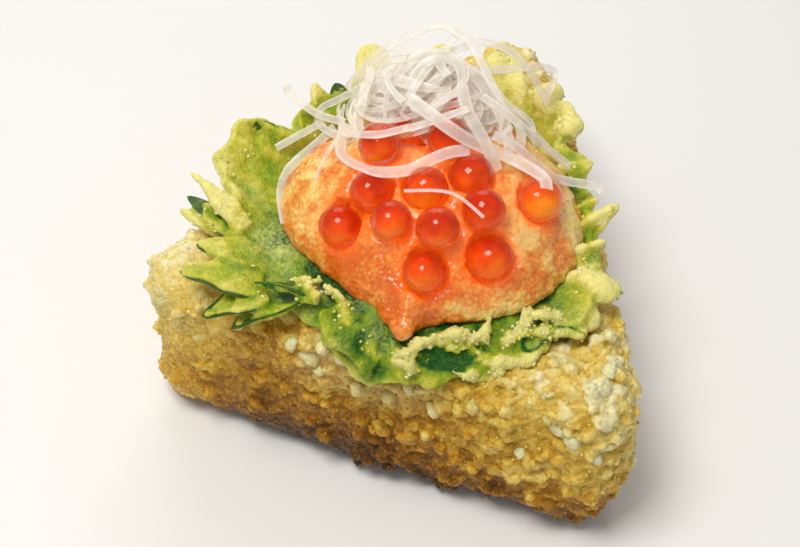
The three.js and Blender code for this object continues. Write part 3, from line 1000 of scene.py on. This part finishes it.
def batterPaint():
    paint = Paint("fried batter on leaf", (0.5, (1.0, 0.95, 0.25), 1.2), Specular_IOR_Level=0.32)
    coat = paint.attribute("coat")
    relief = paint.attribute("relief")
    pale = paint.attribute("pale")
    bare = paint.attribute("bare")
    cloud = paint.noise(7, 2)
    mottle = paint.noise(1.4, 4)
    wrinkles = paint.noise(0.9, 3, 0.6, 1.5)
    dusty = paint.span(paint.noise(6, 2), 0.48, 0.62) * paint.span(paint.noise(0.5, 3), 0.4, 0.6)
    veins = paint.span((paint.noise(2.4, 2, 0.5, 1.0) - 0.5) ** 2, 0.0, 0.001, 1.0, 0.0)
    # paler towards the rim; nearer the paste the green is darker, partly painted shade beside the paste
    outer = paint.span(paint.attribute("reach"), 19.0, 31.0)
    back = paint.span(paint.along(1), 12.0, 24.0)
    # painted shade: the sheet is painted darker towards the front
    front = paint.span(paint.along(1), -8.0, -20.0)
    depth = (coat * 0.6 + (cloud - 0.5) * 1.4 + (mottle - 0.5) * 1.1 + relief * 0.9 + pale * 0.9
             - bare * (1.8 - wrinkles * 1.9 - veins * 0.35)
             - paint.attribute("line") * 1.8 - paint.attribute("fresh") * 0.2
             + outer * 1.2 + back * 0.3 - front * 0.42 - 0.15)
    colour = paint.ramp(paint.span(depth, -0.2, 2.0), (0.02, 30, 90, 12), (0.16, 100, 138, 16),
                        (0.38, 152, 170, 26), (0.6, 200, 196, 64), (0.9, 238, 228, 140))
    # flour shows dusty in places, most of all beside the left of the paste
    away = (paint.along(0) + 18.8) ** 2 + (paint.along(1) + 16.0) ** 2
    flour = paint.span(away, 26.0, 4.0) * paint.span(paint.noise(0.6, 3), 0.4, 0.62)
    powder = (dusty * 0.35 + flour * 0.4) * (1 - bare)
    colour = paint.blend(powder, colour, tint(210, 216, 146))
    paint.put("Base Color", colour)
    paint.put("Roughness", paint.span(paint.noise(1.1, 2), 0.35, 0.7, 0.25, 0.6))
    folds = paint.bump(wrinkles + veins * bare * 0.5, 0.8, 0.5)
    pits = paint.bump(paint.cells(0.5), 0.6, 0.15, folds)
    paint.put("Normal", paint.bump(paint.noise(0.35, 3), 0.5, 0.15, pits))
    return paint


def batterCrumbPaint():
    paint = Paint("batter crumbs", (0.5, (1.0, 0.95, 0.4), 0.8), Roughness=0.45)
    tone = paint.attribute("tone")
    cloud = paint.noise(4, 2)
    paint.put("Base Color", paint.ramp(tone * 0.7 + cloud * 0.6 - 0.15, (0.1, 176, 182, 70),
                                       (0.5, 222, 214, 118), (0.9, 244, 236, 178)))
    paint.put("Normal", paint.bump(paint.noise(0.3, 2), 0.5, 0.1))
    return paint


leafBlade, leafBatter, batterCrumbs = makeLeaf()
finishPiece(leafBlade, bladePaint())
finishPiece(leafBatter, batterPaint(), "shiso_leaf")
finishPiece(batterCrumbs, batterCrumbPaint())


eggNumbers = range(1, 16)

# roe paste
paste = {
    "nub": (3.6, -24.6, 34.9, 1.6),  # soft lump at the tip and its radius, mm
    "coarseVoxel": 0.45 * mm,
    "grow": 0.3 * mm,
    "lump": (5.5 * mm, 0.9 * mm),
    "fineVoxel": 0.232 * mm,
    "granule": (0.6 * mm, 0.17 * mm),
    "clot": (1.7 * mm, 0.5 * mm),
    "eggSeat": 0.02 * mm,
    "glowReach": 1.3 * mm,
    "tipRoot": (2.4, -19.5),  # the narrow tip leaves the dome here and ends there, mm
    "tipEnd": (4.0, -27.0),
    "tipPinch": 0.42,
    "tipHalf": 9 * mm,  # the pinch fades this far to either side
    "reliefRounds": 25,
}


def addBall(name, place, radius, segments, rings):
    deselectAll()
    bpy.ops.mesh.primitive_uv_sphere_add(segments=segments, ring_count=rings, radius=radius,
                                         location=place)
    ball = bpy.context.object
    ball.name = name
    settle(ball)
    bpy.ops.object.shade_smooth()
    return ball


def eggPlace(number):
    low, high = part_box(f"salmon_egg_{number:02d}")
    return (low + high) / 2, (high - low).x / 2


# dents the paste where an egg lies in it
def pressEggs(piece, spare):
    points = readPoints(piece)
    for number in eggNumbers:
        centre, radius = eggPlace(number)
        offset = points - np.array(centre)
        flat = (offset[:, :2] ** 2).sum(1)
        reach = radius - spare
        under = np.sqrt((reach ** 2 - flat).clip(0))
        inside = (flat < reach ** 2) & (offset[:, 2] > -under) & (offset[:, 2] < 2 * reach)
        points[inside, 2] = centre.z - under[inside]
    movePoints(piece, points)


# 1 beside an egg and between several, fading to 0 away from them
def keepGlow(piece):
    points = readPoints(piece)
    glow = np.zeros(len(points))
    for number in eggNumbers:
        centre, radius = eggPlace(number)
        gap = np.sqrt(((points - np.array(centre)) ** 2).sum(1)) - radius
        glow += np.exp(-gap.clip(0) / paste["glowReach"])
    keepAttribute(piece, "glow", glow.clip(0, 1))


# draws the front of the dome in to a narrow tip
def pinchTip(piece):
    root, end = Vector(paste["tipRoot"]) * mm, Vector(paste["tipEnd"]) * mm
    axis = (end - root).normalized()
    side = Vector((-axis.y, axis.x))
    points = readPoints(piece)
    along = (points[:, 0] - root.x) * axis.x + (points[:, 1] - root.y) * axis.y
    off = (points[:, 0] - root.x) * side.x + (points[:, 1] - root.y) * side.y
    share = (along / (end - root).length).clip(0, 1)
    pull = off * paste["tipPinch"] * share * np.exp(-(off / paste["tipHalf"]) ** 2)
    points[:, 0] -= pull * side.x
    points[:, 1] -= pull * side.y
    movePoints(piece, points)


def makePaste():
    dome = copyNode("roe_paste", "roePaste")
    remeshAt(dome, paste["coarseVoxel"])
    soften(dome, 3)
    pinchTip(dome)
    soften(dome, 12)
    nub = Vector(paste["nub"]) * mm
    joinInto(dome, [addBall("nub", nub.xyz, nub.w, segments=16, rings=10)])
    remeshAt(dome, paste["coarseVoxel"])
    soften(dome, 3)
    shapeWith(dome, "DISPLACE", strength=paste["grow"], mid_level=0)
    bumpy(dome, *paste["lump"])
    pressEggs(dome, 0)
    remeshAt(dome, paste["fineVoxel"])
    soften(dome, 2)
    bumpy(dome, *paste["clot"])
    pebbly(dome, *paste["granule"])
    pressEggs(dome, paste["eggSeat"])
    keepRelief(dome, paste["reliefRounds"])
    keepGlow(dome)
    bpy.ops.object.shade_smooth()
    return dome


def pastePaint():
    paint = Paint("creamy roe paste", (0.55, (1.0, 0.5, 0.2), 1.4), Specular_IOR_Level=0.5,
                  Coat_Weight=0.45, Coat_Roughness=0.07, Emission_Strength=0.2)
    relief = paint.attribute("relief")
    glow = paint.attribute("glow")
    cream = paint.noise(7, 2, 0.5, 0.8)
    clots = paint.noise(2.0, 3, 0.5, 0.5)
    grains = paint.cells(0.55, "Color")
    dots = paint.cells(0.55)
    # lighter on the left, right and top and darker at the front: painted light and painted shade, with
    # paler cream on the left as well
    right = paint.span(paint.along(0), 4.0, 20.0)
    left = paint.span(paint.along(0), -6.0, -18.0)
    up = paint.span(paint.height(), 34.0, 41.0)
    front = paint.span(paint.along(1), -12.0, -22.0)
    tone = ((cream - 0.5) * 2.4 + (clots - 0.5) * 0.7 + relief * 0.4 + (grains - 0.5) * 0.16
            - (dots - 0.4) * 0.5 + right * 0.36 + left * 0.2 + up * 0.25 - front * 0.1 + 0.22)
    colour = paint.ramp(tone, (0.05, 224, 106, 22), (0.3, 236, 140, 50),
                        (0.55, 248, 176, 84), (0.85, 255, 222, 136))
    speck = paint.span(paint.noise(2.2, 2), 0.7, 0.74)
    flecked = paint.blend(speck * 0.8, colour, tint(206, 58, 20))
    paint.put("Base Color", paint.blend(glow * 0.75, flecked, tint(246, 110, 16)))
    paint.put("Emission Color", paint.ramp(glow, (0.25, 0, 0, 0), (1.0, 250, 100, 8)))
    paint.put("Roughness", paint.span(paint.noise(1.4, 2), 0.3, 0.7, 0.1, 0.36))
    fine = paint.bump(paint.noise(0.25, 2), 0.4, 0.06)
    paint.put("Normal", paint.bump(dots, 0.6, -0.16, fine))
    return paint


roePaste = makePaste()
finishPiece(roePaste, pastePaint(), "roe_paste")


# salmon eggs
egg = {
    "segments": 40,
    "rings": 24,
    "wobble": (3.2 * mm, 0.22 * mm),
    "yolkShare": 0.7,  # of the egg's radius, as the next two are
    "yolkOff": 0.16,
    "oilOff": 0.7,
    "oilDrops": 5,
    "oilSpread": 0.45,
    "oilShare": (0.03, 0.06),
    "warm": {10: 0.35, 9: 0.12},  # these are nearer to orange
    "warmStray": (-0.12, 0.08),  # how far the rest stray
    "light": (0.25, -0.75, -0.6),  # the side that glows, away from the light
    "seed": 5,
}


def eggShellPaint():
    paint = Paint("salmon egg skin", Roughness=0.03, Transmission_Weight=0.85, IOR=1.34,
                  Alpha=0.66, Coat_Weight=0.45, Coat_IOR=1.46, Coat_Roughness=0.02)
    glow = paint.attribute("glow")
    cloud = paint.noise(5, 1)
    body = glow + (cloud - 0.5) * 0.6
    paint.put("Base Color", paint.ramp(body, (0.15, 250, 104, 20), (0.5, 254, 132, 32),
                                       (0.95, 255, 184, 70)))
    return paint


# the inside glows a little: painted light, standing in for light passing through the egg
def eggYolkPaint():
    paint = Paint("salmon egg inside", (0.5, (1.0, 0.4, 0.05), 1.4), Roughness=0.5,
                  Specular_IOR_Level=0.1, Emission_Strength=0.24)
    glow = paint.attribute("glow")
    swirl = paint.noise(2.6, 2)
    body = glow + (swirl - 0.5) * 0.8
    paint.put("Base Color", paint.ramp(body, (0.3, 210, 46, 4), (0.6, 244, 98, 8),
                                       (0.95, 255, 164, 26)))
    paint.put("Emission Color", paint.ramp(body, (0.3, 130, 24, 0), (0.6, 232, 84, 2),
                                           (0.95, 255, 160, 10)))
    return paint


def oilPaint():
    paint = Paint("egg oil drops", (0.3, (1.0, 0.5, 0.2), 1.0), Roughness=0.12)
    shade = paint.noise(1.0, 1)
    paint.put("Base Color", paint.ramp(shade, (0.3, 250, 120, 40), (0.7, 255, 176, 96)))
    return paint


def makeEgg(number, paints):
    draw = random.Random(egg["seed"] + number)
    centre, radius = eggPlace(number)
    shell = addBall(f"salmonEgg{number:02d}", centre, radius, egg["segments"], egg["rings"])
    bumpy(shell, *egg["wobble"])
    away = Vector([draw.uniform(-1, 1) for _ in range(3)]).normalized()
    warmth = egg["warm"].get(number, draw.uniform(*egg["warmStray"]))
    yolk = addBall("yolk", centre + away * radius * egg["yolkOff"], radius * egg["yolkShare"],
                   segments=20, rings=12)
    parts = [yolk]
    towards = np.array(Vector(egg["light"]).normalized())
    for part in (shell, yolk):
        offset = (readPoints(part) - np.array(centre)) / radius
        keepAttribute(part, "glow", (offset @ towards + 1) / 2 + warmth)
    spread = egg["oilSpread"]
    for _ in range(egg["oilDrops"]):
        turned = away + Vector([draw.uniform(-spread, spread) for _ in range(3)])
        place = centre + turned.normalized() * radius * egg["oilOff"]
        drop = addBall("oil", place, radius * draw.uniform(*egg["oilShare"]), segments=8, rings=6)
        parts.append(drop)
    for index, part in enumerate([shell] + parts):
        for paint in paints:
            part.data.materials.append(paint.material)
        for face in part.data.polygons:
            face.material_index = min(index, len(paints) - 1)
    joinInto(shell, parts)
    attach(shell, "root")
    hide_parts(f"salmon_egg_{number:02d}")


eggPaints = [eggShellPaint(), eggYolkPaint(), oilPaint()]
for number in eggNumbers:
    makeEgg(number, eggPaints)
print("salmon eggs")


# shredded onion
onion = {
    "thickness": 0.2,
    "facing": (0.12, -0.5, 0.85),  # the way the flat sides of the strands look
    "facingStray": 0.3,
    "twist": 0.8,  # a strand turns by up to this from end to end, in radians
    "bow": 0.05,  # its flat side is hollow by this share of its width
    "across": 6,  # faces across a strand, and how long they are, mm
    "faceLength": 0.7,
    "smoothAngle": 0.8,
    "heapFoot": 42,  # the heap's height at its foot, rise, middle and spread, mm
    "heapRise": 12.5,
    "heapMiddle": (-3, 6),
    "heapSpread": (11, 9),
    "fillCount": 44,  # loose loops in the heap
    "fillMiddle": (-4, 5.5),  # their middles, and how far these stray, mm
    "fillStray": (4.5, 3.5),
    "fillReach": (5, 10),
    "fillSweep": (2.8, 5.0),
    "fillDepth": 4.5,  # as deep as this under the top of the heap
    "fillWidth": (0.8, 1.8),
    "fillSteps": 12,
    "fillTwist": 1.0,
    "fillTaper": 0.9,
    "seed": 23,
}

# width, then the points it runs through, mm
strands = [
    (1.3, [(-17.5, 10, 41), (-15, 10, 46), (-12, 11, 50), (-7.5, 12, 54), (-4.5, 12.5, 55.5),
           (-0.5, 11.5, 55), (2.5, 8.5, 54.5), (6, 5, 53), (10, 4.5, 50), (14, 5.5, 45),
           (17, 8, 40)]),
    (1.1, [(-4, 5.5, 51), (-3, 9.5, 52.5), (-1, 12, 53), (1, 14, 53), (4.5, 16, 51),
           (8, 16.5, 47.5), (11, 17, 42)]),
    (1.1, [(-2, 13.5, 55), (-3, 10, 54), (-4, 6.5, 53.5), (-4.5, 0.5, 54), (-4.5, -1, 53.5)]),
    (1.2, [(1.5, 8, 53), (5, 12.5, 50.5), (8, 18.5, 47), (10, 21.5, 44.5), (10.5, 21.5, 43),
           (10, 20, 40.5)]),
    (1.8, [(-4.5, -1.5, 54), (2, -3, 52), (5.5, -2, 49.5), (10, -0.5, 47.2), (15, -2, 47),
           (16.5, -4.5, 47.5)]),
    (1.7, [(1.5, 3, 54.5), (3.5, 0, 53), (5.5, -1, 51), (7, -1.5, 49), (9, -2.5, 46)]),
    (1.3, [(7.5, -0.5, 50.5), (10.5, 0.5, 48.5), (15, 2, 43.5), (17, 4.5, 40.5), (21, 7, 38.5),
           (22.5, 7, 38)]),
    (0.7, [(9, 3.5, 52.5), (10.5, 4, 51), (11.5, 4.5, 49.5), (12, 4, 48), (12.5, 4, 46)]),
    (0.6, [(9.5, 1.5, 51), (8.5, 1, 50), (8, 1, 49)]),
    (1.1, [(4.5, 3, 53.5), (7.5, 2.5, 52.5), (10.5, 3, 50), (13.5, 5, 45.5), (17, 8, 40)]),
    (1.1, [(-26, 7.5, 41), (-25.5, 7, 40), (-23.5, 6, 40), (-19.5, 3.5, 41), (-14.5, 1, 43.5)]),
    (1.1, [(-13, 4.5, 48), (-17, 5, 43.5), (-19.5, 5, 41), (-19.5, 3.5, 40), (-17.5, 1, 41),
           (-14, -2, 43.5)]),
    (1.1, [(-24.5, -0.5, 36), (-22, 1.5, 37.5), (-18.5, 3.5, 40)]),
    (1.3, [(-16, 1, 42), (-18, -0.5, 39.5), (-20, -2.5, 37.5), (-21, -4.5, 36.5), (-21, -7, 35.5),
           (-20, -9.5, 35.5), (-18, -13, 35)]),
    (0.6, [(-14.5, -2, 43), (-15, -4.5, 42), (-15, -7, 41.5), (-15, -9, 41.5)]),
    (1.6, [(-13.5, -1.5, 46), (-13, -4.5, 44), (-11.5, -6.5, 44.5), (-9, -8.5, 46), (-6, -10.5, 48),
           (-4, -10, 48), (-1.5, -8.5, 48), (0, -7, 48.5), (2.5, -4.5, 49), (5, -3, 49)]),
    (1.1, [(-13, -2.5, 45), (-9, -6.5, 50), (-6.5, -6.5, 51), (-4, -5, 51.5), (-2, -4, 52),
           (0, -2.5, 52.5), (1.5, -1.5, 53), (3.5, 0, 53.5)]),
    (0.5, [(-4.5, -2.5, 53.5), (-5, -2.5, 52), (-4, -2.5, 51)]),
    (1.0, [(-9.5, 5, 52), (-8.5, 1.5, 53), (-6.5, -1, 53.5), (-5, -2, 53.5)]),
    (1.2, [(-13.5, 8.5, 48), (-12.5, 5.5, 49), (-12, 2, 50), (-11.5, -0.5, 49)]),
    (1.2, [(-13, 9, 48), (-10.5, 9.5, 51), (-8, 9, 52.5), (-5.5, 8, 53.5), (-3.5, 7, 54),
           (-1, 4.5, 54)]),
    (0.9, [(-11.5, 4.5, 50), (-10.5, 5.5, 51.5), (-9.5, 6, 52.5), (-7.5, 6, 53.5)]),
    (1.0, [(-1, 0, 54), (1, 1.5, 54), (2, 3.5, 54)]),
    (0.4, [(-1, -12.5, 48), (5, -11, 48.5), (10.5, -14, 49)]),
]


# height of the heap that the loose loops lie on, mm
def heapTop(x, y):
    (middleX, middleY), (spreadX, spreadY) = onion["heapMiddle"], onion["heapSpread"]
    rise = math.exp(-((x - middleX) / spreadX) ** 2 - ((y - middleY) / spreadY) ** 2)
    return onion["heapFoot"] + onion["heapRise"] * rise


# a flat ribbon along the points; its flat side faces the given way as nearly as it can
def addStrand(points, width, facing, turn, taper=0.0):
    count = len(points)
    path = [Vector(point) for point in points]

    def spot(share):
        place = share * (count - 1)
        index = min(int(place), count - 2)
        t = place - index
        before, start = path[max(index - 1, 0)], path[index]
        end, after = path[index + 1], path[min(index + 2, count - 1)]
        square = 2 * before - 5 * start + 4 * end - after
        cube = 3 * start - before - 3 * end + after
        return 0.5 * (2 * start + (end - before) * t + square * t * t + cube * t * t * t)

    def rule(u, v):
        along = (spot(min(1, v + 0.01)) - spot(max(0, v - 0.01))).normalized()
        normal = Matrix.Rotation(turn * (v - 0.5), 3, along) @ facing
        across = normal.cross(along).normalized()
        flat = across.cross(along)
        side = 2 * u - 1
        broad = width * (1 - taper * abs(2 * v - 1) ** 3)
        return spot(v) + across * side * broad / 2 + flat * onion["bow"] * broad * side * side

    deselectAll()
    length = sum((b - a).length for a, b in zip(path, path[1:]))
    steps = max(8, int(length / onion["faceLength"]))
    bpy.ops.mesh.primitive_grid_add(x_subdivisions=onion["across"], y_subdivisions=steps, size=2)
    strand = bpy.context.object
    keepAttribute(strand, "edge", [abs(vertex.co.x) for vertex in strand.data.vertices])
    for vertex in strand.data.vertices:
        vertex.co = rule((vertex.co.x + 1) / 2, (vertex.co.y + 1) / 2) * mm
    shapeWith(strand, "SOLIDIFY", thickness=onion["thickness"] * mm, offset=0)
    return strand


# points of a loose loop lying in the heap
def loopPoints(draw):
    centre = [middle + draw.uniform(-stray, stray)
              for middle, stray in zip(onion["fillMiddle"], onion["fillStray"])]
    reach = draw.uniform(*onion["fillReach"])
    begin = draw.uniform(0, math.tau)
    sweep = draw.uniform(*onion["fillSweep"]) * draw.choice((-1, 1))
    depth = draw.uniform(0, onion["fillDepth"])
    points = []
    for step in range(onion["fillSteps"]):
        turn = begin + sweep * step / (onion["fillSteps"] - 1)
        x = centre[0] + reach * math.cos(turn)
        y = centre[1] + 0.75 * reach * math.sin(turn)
        points.append((x, y, heapTop(x, y) - depth + 0.6 * math.sin(2 * turn + begin)))
    return points


def makeOnion():
    draw = random.Random(onion["seed"])
    front = Vector(onion["facing"]).normalized()
    stray = onion["facingStray"]
    parts = []
    twist = onion["twist"]
    for width, points in strands:
        facing = front + Vector([draw.uniform(-stray, stray) for _ in range(3)])
        parts.append(addStrand(points, width, facing, draw.uniform(-twist, twist)))
    twist = onion["fillTwist"]
    for _ in range(onion["fillCount"]):
        points = loopPoints(draw)
        facing = front + Vector([draw.uniform(-stray, stray) for _ in range(3)])
        width = draw.uniform(*onion["fillWidth"])
        turn = draw.uniform(-twist, twist)
        parts.append(addStrand(points, width, facing, turn, onion["fillTaper"]))
    shreds = joinInto(parts[0], parts[1:])
    shreds.name = "onionShreds"
    settle(shreds)
    mergeClose(shreds)
    bpy.ops.object.shade_smooth_by_angle(angle=onion["smoothAngle"])
    return shreds


# a faint glow, brighter at the strands' edges: painted light standing in for light through the thin
# strands
def onionPaint():
    paint = Paint("white onion", (0.5, (1.0, 0.95, 0.8), 1.2), Roughness=0.3,
                  Emission_Strength=0.05)
    vein = paint.noise(1.3, 2)
    edge = paint.attribute("edge")
    paint.put("Base Color", paint.ramp(vein, (0.3, 240, 232, 216), (0.7, 252, 247, 238)))
    paint.put("Emission Color", paint.ramp(edge, (0.3, 236, 222, 204), (1.0, 255, 248, 236)))
    paint.put("Alpha", paint.span(edge + (vein - 0.5) * 0.5, 0.4, 1.0, 0.34, 0.6))
    paint.put("Normal", paint.bump(paint.noise(0.5, 2), 0.2, 0.06))
    return paint


onionShreds = makeOnion()
finishPiece(onionShreds, onionPaint(), "onion_shreds")

deselectAll()
